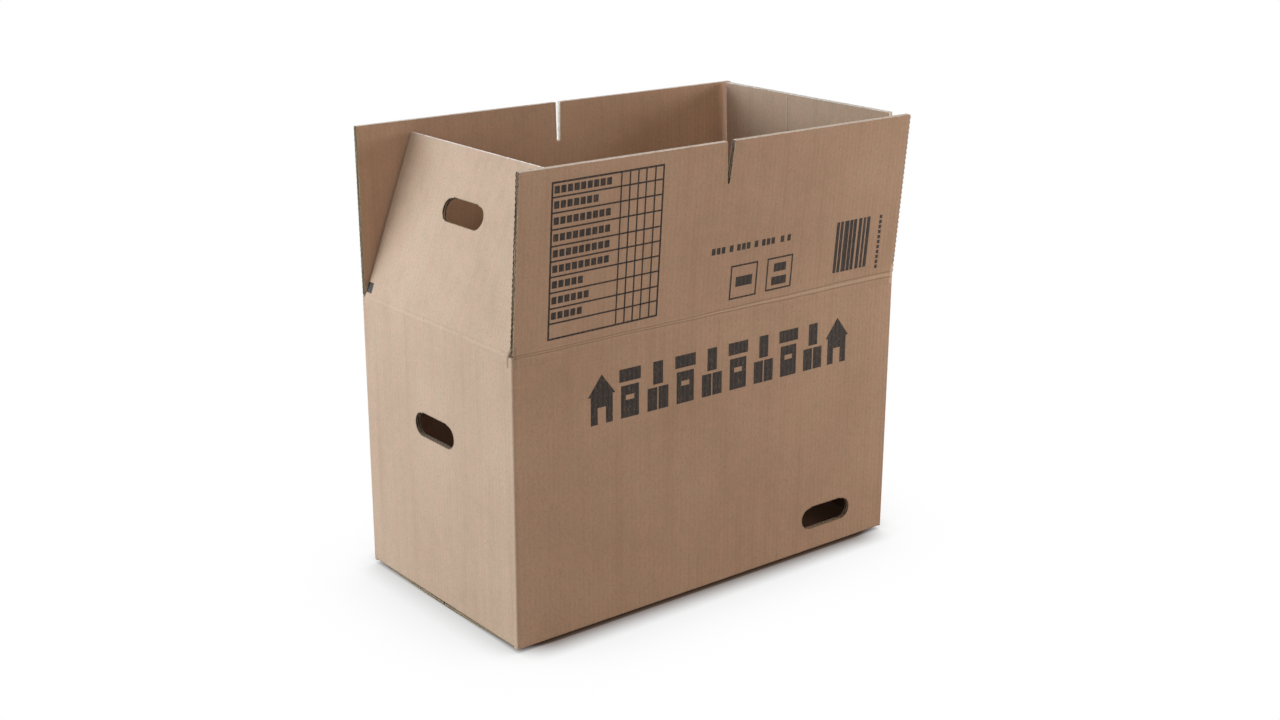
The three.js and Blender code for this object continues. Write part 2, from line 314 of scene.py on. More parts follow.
def painted_deep_shade(tree):
    """Painted shade by how deep a place is inside the box: from 0 above the height where it starts to its
    full darkness at the bottom, only within the walls.
    """
    place = add_node(tree, "ShaderNodeTexCoord").outputs["Object"]
    axes = add_node(tree, "ShaderNodeSeparateXYZ", [(0, place)])
    across = math_node(tree, "ABSOLUTE", axes.outputs[0])
    away = math_node(tree, "ABSOLUTE", math_node(tree, "SUBTRACT", axes.outputs[1], float(middle[1])))
    wall_middle = THICKNESS / 2
    within_length = math_node(tree, "LESS_THAN", across, float(half_length - wall_middle))
    within_width = math_node(tree, "LESS_THAN", away, float(half_width - wall_middle))
    within = math_node(tree, "MULTIPLY", within_length, within_width)
    pairs = [("Value", axes.outputs[2]), ("From Min", DEEP_SHADE_FROM), ("From Max", DEEP_SHADE_TO)]
    pairs.append(("To Max", DEEP_SHADE_DARK))
    depth = add_node(tree, "ShaderNodeMapRange", pairs, interpolation_type="SMOOTHSTEP").outputs[0]
    return math_node(tree, "MULTIPLY", within, depth)


def board_bump(tree, flutes, fibres):
    relief = math_node(tree, "MULTIPLY_ADD", flutes, 0.5, math_node(tree, "MULTIPLY", fibres, 0.5))
    pairs = [("Height", relief), ("Strength", BUMP_STRENGTH), ("Distance", BUMP_HEIGHT)]
    return add_node(tree, "ShaderNodeBump", pairs).outputs[0]


def make_liner(name, creased=False):
    """The board's outside. A crease's own attributes paint shade in its pressed lines and a highlight on its
    ridge, and the liner gets painted shade deep inside the box.
    """
    material, tree, shader = new_material(name)
    tone, flutes, fibres = liner_look(tree)
    if creased:
        pressed = add_node(tree, "ShaderNodeAttribute", attribute_name="pressed").outputs["Fac"]
        ridge = add_node(tree, "ShaderNodeAttribute", attribute_name="ridge").outputs["Fac"]
        # Painted highlight on a crease's ridge and painted shade in its pressed lines
        tone = mix_colour(tree, math_node(tree, "MULTIPLY", ridge, RIDGE_HIGHLIGHT), tone, LINER_WORN_AND_HIGHLIGHT)
        tone = mix_colour(tree, math_node(tree, "MULTIPLY", pressed, PRESSED_LINE_SHADE), tone, LINER_CREASE_SHADE)
    # Painted shade deep inside the box
    tone = mix_colour(tree, painted_deep_shade(tree), tone, LINER_PAINTED_DEEP_SHADE)
    tree.links.new(tone, shader.inputs["Base Color"])
    tree.links.new(board_bump(tree, flutes, fibres), shader.inputs["Normal"])
    set_finish(shader, LINER_FINISH)
    return material


def make_cut_edge(name, paper_tone, hollow_painted_tone):
    """Cut board: pale paper, and painted shade in the hollows between, from the edge's own paper attribute.
    """
    material, tree, shader = new_material(name)
    place = add_node(tree, "ShaderNodeTexCoord").outputs["Object"]
    paper = add_node(tree, "ShaderNodeAttribute", attribute_name="paper").outputs["Fac"]
    rough = mix_colour(tree, noise_share(tree, place, TORN_PATCHES), paper_tone, LINER_FIBRE)
    # Paper where the attribute is 1, painted shade in the hollows where it is 0
    tree.links.new(mix_colour(tree, paper, hollow_painted_tone, rough), shader.inputs["Base Color"])
    set_finish(shader, CUT_FINISH)
    return material


def make_ink():
    """Dark ink soaked into the liner, thin on single fibres and where the board dips between flutes."""
    material, tree, shader = new_material("dark_print")
    tone, flutes, fibres = liner_look(tree)
    bare = math_node(tree, "MULTIPLY_ADD", fibres, *BARE_FIBRES, True)
    dips = math_node(tree, "MULTIPLY_ADD", flutes, -INK_FLUTE_SHADE, INK_FLUTE_SHADE)
    faint = math_node(tree, "ADD", bare, dips)
    tree.links.new(mix_colour(tree, faint, INK, tone), shader.inputs["Base Color"])
    tree.links.new(board_bump(tree, flutes, fibres), shader.inputs["Normal"])
    set_finish(shader, INK_FINISH)
    return material


liner = make_liner("kraft_liner")
creased_liner = make_liner("kraft_crease", creased=True)
cut_edge = make_cut_edge("cut_board", CUT_PAPER, CUT_HOLLOW_SHADE)
# Crushed edges: pale paper with a painted highlight
crushed_highlit_edge = make_cut_edge("crushed_cut_board", TOP_PAPER_HIGHLIGHT, TOP_HOLLOW_HIGHLIGHT)
pressed_edge = make_cut_edge("pressed_cut_board", PRESSED_PAPER, PRESSED_HOLLOW_SHADE)
ink = make_ink()

for node in frame["nodes"].values():
    node.data.materials.clear()
    node.data.materials.append(liner)

# The flaps' own side faces, under their cut edges. The right end flap's get the crushed edges' pale paper
# with a painted highlight
SIDE_FACES = {"front": cut_edge, "back": pressed_edge, "left_end": cut_edge, "right_end": crushed_highlit_edge}
FACES_SIDEWAYS = 0.9

for side, flap in flaps.items():
    mesh = frame["nodes"][side + "_flap"].data
    mesh.materials.append(SIDE_FACES[side])
    normals = np.zeros(3 * len(mesh.polygons))
    mesh.polygons.foreach_get("normal", normals)
    sideways = np.abs(normals.reshape(-1, 3) @ flap.along) > FACES_SIDEWAYS
    mesh.polygons.foreach_set("material_index", sideways.astype(np.int32))
    mesh.update()


# Mesh making


def add_piece(name, points, faces, material, smooth_faces=0):
    """A mesh object. The first smooth_faces of its faces are shaded smooth."""
    mesh = bpy.data.meshes.new(name)
    mesh.from_pydata(points.tolist(), [], faces)
    mesh.materials.append(material)
    mesh.polygons.foreach_set("use_smooth", [index < smooth_faces for index in range(len(faces))])
    mesh.update()
    piece = bpy.data.objects.new(name, mesh)
    bpy.context.scene.collection.objects.link(piece)
    return piece


def closed_slab(name, front, back, material, wrap=False, smooth=False):
    """A closed sheet between two grids of points of one shape, (rows, columns, 3). With wrap the last row
    joins the first."""
    rows, columns = front.shape[:2]
    count = rows * columns
    index = np.arange(count).reshape(rows, columns)
    if wrap:
        index = np.vstack([index, index[:1]])
    borders = [index[:, 0], index[::-1, -1]]
    if not wrap:
        borders += [index[0, ::-1], index[-1, :]]
    corners = [index[:-1, :-1], index[1:, :-1], index[1:, 1:], index[:-1, 1:]]
    face = np.stack(corners, axis=-1).reshape(-1, 4)
    rims = []
    for line in borders:
        rims.append(np.stack([line[1:], line[:-1], line[:-1] + count, line[1:] + count], axis=-1))
    faces = np.vstack([face, face[:, ::-1] + count, *rims])
    points = np.vstack([front.reshape(-1, 3), back.reshape(-1, 3)])
    a, b, c, d = (points[faces[:, k]] for k in range(4))
    volume = np.sum(np.cross(a, b) * c) + np.sum(np.cross(a, c) * d)
    if volume < 0:
        faces = faces[:, ::-1]
    return add_piece(name, points, faces.tolist(), material, 2 * len(face) if smooth else 0)


def set_attribute(piece, name, grid):
    """A value for each point of the front grid, and the same for the point behind it."""
    values = np.tile(grid.astype(np.float32).ravel(), 2)
    piece.data.attributes.new(name, "FLOAT", "POINT").data.foreach_set("value", values)


def smoothstep(low, high, value):
    share = np.clip((value - low) / (high - low), 0, 1)
    return share * share * (3 - 2 * share)


# Cut edges of the board

PAPER = 0.42 * MM
PAPER_CORE = 0.45
EDGE_PROUD = 0.45 * MM
EDGE_SEAT = 0.05 * MM
EDGE_SUNK = 0.5 * MM
EDGE_FOOT = 1.0 * MM
MIDDLE_LINER = 2.95 * MM
INNER_FLUTE_PHASE = 1.1
RAGGED = 0.3 * MM
ACROSS_SAMPLES = 21
STEP = 1.2 * MM
ARC_STEPS = 24
SLOT_FOOT_STEPS = 12

# How a cut edge is crushed with a painted highlight, pressed flat, torn or neatly punched
crushed_highlit = {"material": crushed_highlit_edge, "proud": 0.15 * MM, "ragged": 0.1 * MM}
pressed_flat = {"material": pressed_edge, "proud": 1.1 * MM, "ragged": 0.15 * MM}
torn = {"proud": 1.1 * MM, "ragged": 0.75 * MM}
neat = {"proud": 0.15 * MM, "ragged": 0.1 * MM}


def paper_share(depth, u):
    """Share of paper at a depth in the board: three liners, and two fluted sheets that wave along u."""
    outer_room = MIDDLE_LINER - PAPER
    inner_room = THICKNESS - MIDDLE_LINER - PAPER
    outer_wave = (outer_room / 2 - PAPER / 2) * np.sin(2 * np.pi * u / FLUTE_PITCH_OUTER)
    inner_wave = (inner_room / 2 - PAPER / 2) * np.sin(2 * np.pi * u / FLUTE_PITCH + INNER_FLUTE_PHASE)
    lines = [
        PAPER / 2,
        MIDDLE_LINER,
        THICKNESS - PAPER / 2,
        (PAPER + MIDDLE_LINER) / 2 + outer_wave,
        (MIDDLE_LINER + THICKNESS) / 2 + inner_wave,
    ]
    share = np.zeros(np.broadcast(depth, u).shape)
    for line in lines:
        share = np.maximum(share, 1 - smoothstep(PAPER * PAPER_CORE, PAPER, np.abs(depth - line)))
    return share


# Rates per metre of the ragged wave: two that are multiplied, and the slanting one that is added
RAGGED_RATES = (1310, 870)
RAGGED_PHASES = (1.3, 0.4)
SLANTING_RATES = (640, 2130)
SLANTING_SHARE = 0.6


def ragged_wave(p, q):
    """A slow uneven wave, for paper cut with a blunt knife."""
    crossed = np.sin(p * RAGGED_RATES[0] + RAGGED_PHASES[0]) * np.sin(q * RAGGED_RATES[1] + RAGGED_PHASES[1])
    return crossed + SLANTING_SHARE * np.sin(q * SLANTING_RATES[1] + p * SLANTING_RATES[0])


# Where and how strongly a shaded cut edge gets painted shade, under the wall
SHADED_DEPTHS = (0.62, 0.85)
SHADED_SHARE = 0.9


def cut_strip(name, body, line, out, across, thickness, phase, wave, wrap=False, material=cut_edge,
              proud=EDGE_PROUD, ragged=RAGGED, shaded=False):
    """A cut edge along a line of points. out points away from the board and across runs from face to face. A
    shaded one has painted shade at its far face, under the wall."""
    share = np.linspace(0, 1, ACROSS_SAMPLES)
    paper = paper_share(share[None, :] * THICKNESS, phase[:, None])
    height = EDGE_SEAT + paper * (proud + ragged * wave[:, None])
    base = line[:, None] + (share[None, :] * thickness[:, None])[..., None] * across
    front = base + height[..., None] * out[:, None]
    back = base - EDGE_SUNK * out[:, None]
    piece = closed_slab(name, front, back, material, wrap=wrap)
    # Painted shade at the far face of a shaded edge
    if shaded:
        paper = paper * (1 - SHADED_SHARE * smoothstep(*SHADED_DEPTHS, share))
    set_attribute(piece, "paper", paper)
    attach(piece, body)


FLUTE_SLANT = 0.05
FLUTE_DRIFT = 0.9 * MM
FLUTE_DRIFT_RATE = 37


def cut_face(name, board, path, **look):
    """A cut edge along a path on a board: its u and v, and the direction in the board's plane that points off
    it. The flutes drift a little along the path, as the board's do."""
    u, v, out_u, out_v = path
    line = board.place(u, v)
    out = out_u[:, None] * board.along + out_v[:, None] * board.up
    thickness = np.full(len(u), THICKNESS)
    drift = FLUTE_SLANT * v + FLUTE_DRIFT * np.sin(FLUTE_DRIFT_RATE * v)
    cut_strip(name, board.body, line, out, -board.out, thickness, u + drift, ragged_wave(u, v), **look)


def corner_path(corners):
    """Evenly spaced points between corners, with the side that is off the board on each stretch's left."""
    parts = []
    for (u0, v0), (u1, v1) in zip(corners[:-1], corners[1:]):
        length = math.hypot(u1 - u0, v1 - v0)
        share = np.linspace(0, 1, max(2, int(length / STEP) + 1))
        if parts:
            share = share[1:]
        out_u, out_v = -(v1 - v0) / length, (u1 - u0) / length
        u = u0 + (u1 - u0) * share
        v = v0 + (v1 - v0) * share
        parts.append([u, v, np.full_like(u, out_u), np.full_like(u, out_v)])
    return [np.concatenate(columns) for columns in zip(*parts)]


def hole_path(across, up):
    """Once round a hand hole, with the hole's middle on the left."""
    radius = HOLE_HEIGHT / 2
    straight = HOLE_LENGTH / 2 - radius
    step = HOLE_STEP_LENGTH / 2
    turn = np.linspace(0, np.pi, ARC_STEPS + 1)[1:]
    corners = [(-straight, -radius), (straight, -radius)]
    corners += [(straight + radius * math.sin(a), -radius * math.cos(a)) for a in turn]
    corners += [(step, radius), (step - HOLE_STEP, radius + HOLE_STEP)]
    corners += [(-step + HOLE_STEP, radius + HOLE_STEP), (-step, radius), (-straight, radius)]
    corners += [(-straight - radius * math.sin(a), radius * math.cos(a)) for a in turn]
    u, v, out_u, out_v = (column[:-1] for column in corner_path(corners))
    return u + across, v + up, out_u, out_v


def hand_hole(name, board, across, up):
    cut_face(name, board, hole_path(across, up), wrap=True, **neat)


def slot_path(side):
    """Down one side of a slot, round its foot and up the other side, with the slot on the left."""
    mouth = SLOT_MOUTHS[side] / 2
    root = SLOT_ROOTS[side] / 2
    foot = FLAP_HEIGHT - SLOT_DEPTH + root
    turn = np.linspace(0, np.pi, SLOT_FOOT_STEPS + 1)
    corners = [(-mouth, FLAP_HEIGHT)]
    corners += [(-root * math.cos(a), foot - root * math.sin(a)) for a in turn]
    corners.append((mouth, FLAP_HEIGHT))
    return corner_path(corners)


def straight_edge(name, board, start, end, look):
    """A cut edge from one (u, v) to another, with the side that is off the board on the left."""
    cut_face(name, board, corner_path([start, end]), **look)


for side in ("front", "back"):
    board = flaps[side]
    low, high = flap_span(side)
    top = FLAP_HEIGHT
    foot = EDGE_FOOT
    mouth = SLOT_MOUTHS[side] / 2
    sides = torn if side == "front" else pressed_flat
    slot = {} if side == "front" else crushed_highlit
    straight_edge(side + "_flap_top_edge_left", board, (low, top), (-mouth, top), crushed_highlit)
    straight_edge(side + "_flap_top_edge_right", board, (mouth, top), (high, top), crushed_highlit)
    cut_face(side + "_flap_slot_edge", board, slot_path(side), **slot)
    straight_edge(side + "_flap_left_edge", board, (low, foot), (low, top), sides)
    straight_edge(side + "_flap_right_edge", board, (high, top), (high, foot), sides)
    hand_hole(side + "_wall_hand_hole_edge", walls[side], SIDE_HOLE_ACROSS, SIDE_HOLE_HEIGHT)

for side in ENDS:
    board = flaps[side]
    low, high = flap_span(side)
    top = flap_top(side)
    foot = THICKNESS + EDGE_FOOT
    hole_height = HOLE_BELOW_CREASE + crease_level(side)
    sides = neat if side == "left_end" else crushed_highlit
    straight_edge(side + "_flap_top_edge", board, (low, top), (high, top), crushed_highlit)
    straight_edge(side + "_flap_left_edge", board, (low, foot), (low, top), sides)
    straight_edge(side + "_flap_right_edge", board, (high, top), (high, foot), sides)
    hand_hole(side + "_flap_hand_hole_edge", board, END_HOLE_ACROSS, hole_height)
    hand_hole(side + "_wall_hand_hole_edge", walls[side], END_HOLE_ACROSS, CREASE_HEIGHT - HOLE_BELOW_CREASE)


BOTTOM_SEAM_MARGIN = 0.5 * MM
BOTTOM_FOLD_MARGIN = 1.5 * MM
BOTTOM_FLUTE_SLANT = 0.06
BOTTOM_FLUTE_DRIFT = 0.7 * MM
BOTTOM_FLUTE_DRIFT_RATE = 41


def bottom_flap_end(name, end, front):
    """The cut end of a long bottom flap, under an end wall. Its underside slopes up towards the long wall."""
    near_seam = BOTTOM_SEAM_HALF + BOTTOM_SEAM_MARGIN
    near_fold = half_width - FOLD_RADIUS - BOTTOM_FOLD_MARGIN
    away = np.arange(near_seam, near_fold, STEP)
    slope = (away - BOTTOM_FLAT_HALF) / (half_width - FOLD_RADIUS - BOTTOM_FLAT_HALF)
    low = BOTTOM_SAG * np.clip(slope, 0, 1)
    x = middle[0] + end * (half_length - BOTTOM_END_INSET)
    line = np.stack([x + 0 * away, middle[1] + front * away, low], axis=-1)
    out = np.tile([float(end), 0.0, 0.0], (len(away), 1))
    phase = BOTTOM_FLUTE_SLANT * away + BOTTOM_FLUTE_DRIFT * np.sin(BOTTOM_FLUTE_DRIFT_RATE * away)
    cut_strip(name, "carton", line, out, UP, THICKNESS - low, phase, ragged_wave(away, low),
              material=pressed_edge, shaded=True)


for end, end_name in ((-1, "left"), (1, "right")):
    for front, front_name in ((-1, "front"), (1, "back")):
        bottom_flap_end(front_name + "_bottom_flap_" + end_name + "_end", end, front)


# Creases: the liner runs on over each fold, on both faces of the board

CREASE_REACH = 14 * MM
CREASE_TURN = 4 * MM
CREASE_SAMPLES = 85
CREASE_STEP = 5 * MM
CREASE_END_GAP = 0.3 * MM
CREASE_FADE = (-4 * MM, 18 * MM)
CREASE_SEAT = 0.05 * MM
CREASE_SUNK = 0.5 * MM
CREASE_SWELL = 0.35 * MM
CREASE_RIDGE = 0.45 * MM
LINE_WIDTH = 1.0 * MM

# Ridges and pressed lines. At the ends they are fainter and narrower, and on the long sides the lines part
END_CREASE_STRENGTH = 0.16
END_LINE_PLACE = 2.4 * MM
RIDGE_WIDTH = 3.0 * MM
END_RIDGE_WIDTH = 1.8 * MM
LINES_APART = (1.5 * MM, 2.4 * MM)
LINES_PART_ALONG = (-0.15, 0.3)

# How the pressed lines wander: size, rate per metre and phase of each wave
WANDERS = ((0.35 * MM, 31, 0.5), (0.2 * MM, 83, 2.0))


def crease_lines(side, u):
    """Places of the two pressed lines across a fold. On the long sides they part towards the right, seen from
    outside, and both wander a little."""
    wander = 0
    for size, rate, phase in WANDERS:
        wander = wander + size * np.sin(rate * u + phase)
    if side in ENDS:
        return wander - END_LINE_PLACE, wander + END_LINE_PLACE
    near, more = LINES_APART
    part = near + more * smoothstep(*LINES_PART_ALONG, u)
    return wander - part, wander + part


def crease_strip(name, side, inner):
    """A strip of liner over a crease. Its section starts on the wall, turns about the crease axis by the
    flap's lean, and ends on the flap."""
    flap = flaps[side]
    level = crease_level(side)
    low, high = flap_span(side)
    columns = int((high - low) / CREASE_STEP)
    s = np.linspace(-CREASE_REACH, CREASE_REACH, CREASE_SAMPLES)[None, :]
    u = np.linspace(low + CREASE_END_GAP, high - CREASE_END_GAP, columns)[:, None]
    first, second = crease_lines(side, u)
    pressed = np.exp(-(((s - first) / LINE_WIDTH) ** 2)) + np.exp(-(((s - second) / LINE_WIDTH) ** 2))
    ridge_width = END_RIDGE_WIDTH if side in ENDS else RIDGE_WIDTH
    ridge = np.exp(-((s / ridge_width) ** 2))
    near_end = np.minimum(u - low, high - u)
    fade = 1 - smoothstep(0.5 * CREASE_REACH, CREASE_REACH, np.abs(s))
    fade = fade * smoothstep(*CREASE_FADE, near_end)
    strength = END_CREASE_STRENGTH if side in ENDS else 1.0
    relief = CREASE_SWELL + CREASE_RIDGE * ridge - CREASE_RIDGE * pressed
    lift = CREASE_SEAT + strength * fade * relief
    turn = flap.lean * smoothstep(-CREASE_TURN, CREASE_TURN, s)
    facing = -1 if inner else 1
    face_place = flap.outer - (THICKNESS if inner else 0.0)
    grids = []
    for height in (lift, np.full_like(lift, -CREASE_SUNK)):
        out = face_place + facing * height
        up = s + level
        outwards = (out * np.cos(turn) + up * np.sin(turn))[..., None] * flap.flat_out
        upwards = (up * np.cos(turn) - out * np.sin(turn))[..., None] * UP
        grids.append(flap.origin + u[..., None] * flap.along + outwards + upwards)
    piece = closed_slab(name, *grids, creased_liner, smooth=True)
    # These attributes paint shade in the pressed lines and a highlight on the ridge
    set_attribute(piece, "pressed", strength * np.clip(pressed, 0, 1))
    set_attribute(piece, "ridge", strength * fade * ridge * np.clip(1 - pressed, 0, 1))
    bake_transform(piece)


for side in SIDES:
    crease_strip(side + "_crease_outside", side, inner=False)
    crease_strip(side + "_crease_inside", side, inner=True)


LAP_LINE_PLACE = 34 * MM
LAP_LINE_LOW = 179 * MM
LAP_LINE_HIGH = 234 * MM
LAP_LINE_REACH = 4 * MM
LAP_LINE_SAMPLES = 33
LAP_LINE_ROWS = 12
LAP_RIDGE_PLACE = 1.6 * MM
LAP_RIDGE = 0.2 * MM


def lap_line():
    """A faint upright pressed line on the inside of the right end flap, from its top edge down, with painted
    shade in the line and a painted highlight on the ridge beside it.
    """
    board = flaps["right_end"]
    across = np.linspace(-LAP_LINE_REACH, LAP_LINE_REACH, LAP_LINE_SAMPLES)[None, :]
    up = np.linspace(LAP_LINE_LOW, LAP_LINE_HIGH, LAP_LINE_ROWS)[:, None]
    pressed = np.exp(-((across / LINE_WIDTH) ** 2))
    ridge = np.exp(-(((across - LAP_RIDGE_PLACE) / LINE_WIDTH) ** 2))
    height = CREASE_SEAT + LAP_RIDGE * ridge + 0 * up
    lifts = (height, np.full_like(height, -CREASE_SUNK))
    grids = [board.place(LAP_LINE_PLACE + across, up, THICKNESS + lift) for lift in lifts]
    piece = closed_slab("right_end_flap_inner_line", *grids, creased_liner, smooth=True)
    set_attribute(piece, "pressed", pressed + 0 * up)
    set_attribute(piece, "ridge", ridge + 0 * up)
    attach(piece, board.body)


lap_line()

# Print: plain lines, frames, bars and bold shapes of dark ink, as thin closed slabs. Sizes here are in
# millimetres, to the right of the board's middle and up from the crease or the floor.

PRINT_PROUD = 0.12 * MM
PRINT_SUNK = 0.1 * MM


def print_shapes(name, board, outlines):
    """Closed outlines, each a list of (u, v) corners that run anticlockwise, seen from outside."""
    points, faces = [], []
    for outline in outlines:
        first = len(points)
        count = len(outline)
        flat = np.array(outline, float) * MM
        for depth in (-PRINT_PROUD, PRINT_SUNK):
            points.extend(board.place(flat[:, 0], flat[:, 1], depth))
        top = [first + k for k in range(count)]
        faces.append(top)
        faces.append([corner + count for corner in reversed(top)])
        faces.extend([b, a, a + count, b + count] for a, b in zip(top, top[1:] + top[:1]))
    piece = add_piece(name, np.array(points), faces, ink)
    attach(piece, board.body)


def bar(u0, v0, u1, v1):
    return [(u0, v0), (u1, v0), (u1, v1), (u0, v1)]


def square_frame(u0, v0, u1, v1, line):
    return [
        bar(u0, v0, u1, v0 + line),
        bar(u0, v1 - line, u1, v1),
        bar(u0, v0 + line, u0 + line, v1 - line),
        bar(u1 - line, v0 + line, u1, v1 - line),
    ]


TABLE_ROWS = (215.9, 197.4, 177.8, 156.9, 135.8, 116.4, 96.5, 76.1, 55.5, 35.8, 15.2)
TABLE_COLUMNS = (-176.5, -163.1, -150.0, -137.3, -123.0)
TABLE_SIDES = (-282.0, -108.8)
TABLE_LINE = 2.2
TABLE_SLOPE = 0.008
TABLE_DRIFT = 0.013
ROW_BLOCKS = (9, 7, 9, 9, 9, 9, 5, 6, 5)
BLOCK_PITCH = 9.8
BLOCK_WIDTH = 7.6
BLOCK_HALF = 4.7
BLOCK_INDENT = 4.5
FRAME_EXTRA = 0.4


def ruled_table():
    """A frame with level rules, tick columns at its right-hand side, and a line of plain blocks in each row
    but the last. The whole is turned a little: its left side is lower, and its foot further to the right."""
    left, right = TABLE_SIDES
    half = TABLE_LINE / 2
    table_top = TABLE_ROWS[0]
    table_foot = TABLE_ROWS[-1]
    shapes = square_frame(left, table_foot - half, right, table_top + half, TABLE_LINE + FRAME_EXTRA)
    shapes += [bar(left + half, v - half, right - half, v + half) for v in TABLE_ROWS[1:-1]]
    shapes += [bar(u - half, table_foot + half, u + half, table_top - half) for u in TABLE_COLUMNS]
    for top, bottom, blocks in zip(TABLE_ROWS[:-2], TABLE_ROWS[1:-1], ROW_BLOCKS):
        centre = (top + bottom) / 2
        starts = [left + BLOCK_INDENT + BLOCK_PITCH * k for k in range(blocks)]
        shapes += [bar(u, centre - BLOCK_HALF, u + BLOCK_WIDTH, centre + BLOCK_HALF) for u in starts]
    turned = []
    for shape in shapes:
        turned.append([(u + TABLE_DRIFT * (table_top - v), v - TABLE_SLOPE * (right - u)) for u, v in shape])
    return turned


UNEVEN_BARS = (
    (207, 212.5), (214.5, 220), (222.5, 231), (232.5, 238.5), (240, 246), (250, 256), (259, 263.5), (266, 272)
)


def uneven_bars(low, high):
    """Upright bars of uneven width."""
    return [bar(left, low, right, high) for left, right in UNEVEN_BARS]


# Shapes of the bold row. Bare numbers in them are shares of the shape's own width or height.


def house(u, v, width, height):
    """A solid house with a door, as two halves."""
    eaves = v + 0.58 * height
    door = 0.15 * width
    lintel = v + 0.34 * height
    centre = u + width / 2
    near = u + 0.1 * width
    far = u + 0.9 * width
    left_foot = [(near, v), (centre - door, v), (centre - door, lintel)]
    right_foot = [(centre + door, v), (far, v), (far, eaves)]
    left_roof = [(centre, lintel), (centre, v + height), (u, eaves), (near, eaves)]
    right_roof = [(u + width, eaves), (centre, v + height), (centre, lintel), (centre + door, lintel)]
    return [left_foot + left_roof, right_foot + right_roof]


def lidded_box(u, v, width, height):
    """A box with a hand hole, and its lid over it."""
    left = u + 0.08 * width
    right = u + 0.92 * width
    hole = (u + 0.3 * width, v + 0.36 * height, u + 0.7 * width, v + 0.46 * height)
    top = v + 0.66 * height
    shapes = [bar(u, v + 0.74 * height, u + width, v + height), bar(left, v, right, hole[1])]
    shapes += [bar(left, hole[1], hole[0], hole[3]), bar(hole[2], hole[1], right, hole[3])]
    return shapes + [bar(left, hole[3], right, top)]


def box_pile(u, v, width, height):
    """Two boxes side by side and one on them."""
    side = 0.47 * width
    level = 0.47 * height
    middle_left = u + width / 2 - side / 2
    shapes = [bar(u, v, u + side, v + level), bar(u + width - side, v, u + width, v + level)]
    return shapes + [bar(middle_left, v + height - level, middle_left + side, v + height)]


BOLD_LEFT = -217.0
BOLD_LOW = 284.5
BOLD_HEIGHT = 66.5
BOLD_PITCH = 46.4
BOLD_WIDTH = 35.0
BOLD_INDENT = 4.0
BOLD_COUNT = 10
HOUSE_WIDTH = 44.0


def bold_row():
    """A row of lidded boxes and piles of boxes, with a house at each end."""
    last = BOLD_LEFT + (BOLD_COUNT - 1) * BOLD_PITCH
    shapes = house(BOLD_LEFT, BOLD_LOW, HOUSE_WIDTH, BOLD_HEIGHT)
    for number in range(1, BOLD_COUNT - 1):
        u = BOLD_LEFT + number * BOLD_PITCH
        draw = lidded_box if number % 2 else box_pile
        shapes += draw(u + BOLD_INDENT, BOLD_LOW, BOLD_WIDTH, BOLD_HEIGHT)
    return shapes + house(last, BOLD_LOW, HOUSE_WIDTH, BOLD_HEIGHT)


# Each as left, low, right and high
SQUARE_FRAMES = ((16, 14, 64, 62), (81, 15, 128, 62))
FRAMED_BARS = ((26, 31, 55, 45), (94, 41, 116, 53), (91, 22, 118, 34))
SQUARE_LINE = 2.4
UNEVEN_BARS_SPAN = (20, 94)
CORNER_MARK = (-174, 4.5, -161, 19)

# The line of blocks over the frames, and the column of blocks at the flap's right end
LINE_BLOCKS = (-20, -11.5, -3, 11, 24, 32.5, 41, 55, 68, 76.5, 85, 102, 114)
LINE_BLOCK_WIDTH = 6.2
LINE_BLOCKS_SPAN = (82, 91)
SIDE_BLOCKS = np.arange(14, 92, 7.4)
SIDE_BLOCK_HEIGHT = 5.2
SIDE_BLOCKS_SPAN = (290.5, 295.5)


def framed_bars():
    shapes = []
    for sides in SQUARE_FRAMES:
        shapes += square_frame(*sides, SQUARE_LINE)
    return shapes + [bar(*sides) for sides in FRAMED_BARS]


def block_line():
    low, high = LINE_BLOCKS_SPAN
    return [bar(u, low, u + LINE_BLOCK_WIDTH, high) for u in LINE_BLOCKS]


def side_blocks():
    left, right = SIDE_BLOCKS_SPAN
    return [bar(left, v, right, v + SIDE_BLOCK_HEIGHT) for v in SIDE_BLOCKS]


def corner_mark():
    left, low, right, high = CORNER_MARK
    level = crease_level("left_end") / MM
    return [bar(left, low + level, right, high + level)]


front_flap = flaps["front"]
print_shapes("ruled_table_print", front_flap, ruled_table())
print_shapes("square_frames_print", front_flap, framed_bars())
print_shapes("size_line_print", front_flap, block_line())
print_shapes("uneven_bars_print", front_flap, uneven_bars(*UNEVEN_BARS_SPAN))
print_shapes("side_line_print", front_flap, side_blocks())
print_shapes("bold_shapes_print", walls["front"], bold_row())
print_shapes("corner_mark_print", flaps["left_end"], corner_mark())


# Floor, light and camera

FLOOR_HALF = 12.0
FLOOR_BOUNCE = 0.45
SHADOW_REACH = 0.2
SHADOW_CURVE = 2.3
CONTACT_REACH = 0.04
CONTACT_DARK = 1.65
CONTACT_AT_ENDS = 0.22
FADE_FROM = 0.27
FADE_TO = 0.335
CONTACT_BROWN = srgb(106, 87, 74)
FLOOR_FINISH = (0.9, 0.0)
HIDDEN_SAMPLES = 16

# Each light's name, place, width in metres, power in watts and colour
LIGHTS = (
    ("key_left", (-2.5, 1.85, 1.15), 3.0, 163, (0.82, 1.0, 1.15)),
    ("soft_left", (-2.9, -0.5, 1.3), 1.6, 26, (0.84, 1.0, 1.12)),
    ("soft_right", (2.2, -0.9, 0.8), 1.2, 42, (1.0, 1.0, 0.99)),
    ("soft_front", (0.1, -3.0, 2.2), 1.8, 29.5, (1.08, 0.88, 0.73)),
    ("soft_top", (0.2, -0.6, 3.4), 1.6, 9, (1.0, 1.0, 1.0)),
)
LIGHT_TARGET = (0.0, 0.0, 0.4)
WORLD_FILL = 0.04
FILL_COLOUR = (1.1, 0.99, 0.9, 1)
WHITE = (1, 1, 1, 1)


